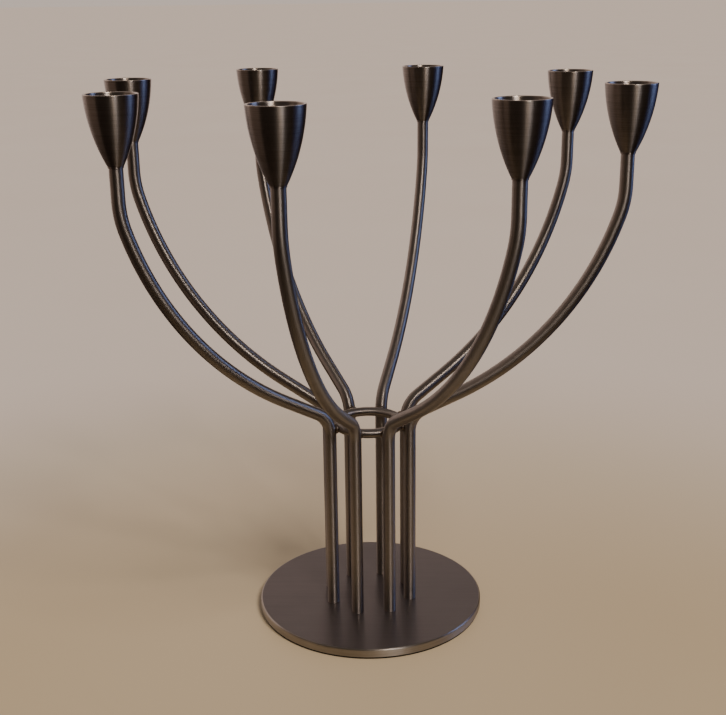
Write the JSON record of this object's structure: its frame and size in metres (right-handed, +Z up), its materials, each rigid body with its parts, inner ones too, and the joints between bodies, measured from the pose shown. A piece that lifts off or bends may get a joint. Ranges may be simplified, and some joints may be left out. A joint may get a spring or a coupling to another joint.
{
  "type": "menorah",
  "caption": "Round candelabra on a disc foot: bent bars stand in a ring, tied by a small ring, and sweep out and up to open tapered candle cups.",
  "frame": {"origin": "centre of the underside of the foot, on the table top", "axes": "+Z up along the axis of the foot; +X towards the stem of arm_1; the other arms follow every 45 degrees counter-clockwise seen from above"},
  "size_m": [0.3434, 0.3434, 0.3498],
  "materials": {
    "foot_steel": "fine satin brushed plate with a bright rounded edge",
    "bar_steel": "ground to a fine satin, with its lines round the bar",
    "cup_steel": "fine turned lines round the cup, bright lip",
    "weld_steel": "dressed and brushed weld",
    "fixing_steel": "plain stainless fasteners",
    "pad_rubber": "matt black"
  },
  "bodies": {
    "root": {"base_plate": "foot_steel", "base_pad": "pad_rubber", "tie_ring": "bar_steel", "tie_ring_welds": "weld_steel", "base_screws": "fixing_steel", "cup_studs": "fixing_steel", "arm_1": "bar_steel", "arm_2": "bar_steel", "arm_3": "bar_steel", "arm_4": "bar_steel", "arm_5": "bar_steel", "arm_6": "bar_steel", "arm_7": "bar_steel", "arm_8": "bar_steel", "cup_1": "cup_steel", "cup_2": "cup_steel", "cup_3": "cup_steel", "cup_4": "cup_steel", "cup_5": "cup_steel", "cup_6": "cup_steel", "cup_7": "cup_steel", "cup_8": "cup_steel"}
  },
  "joints": []
}
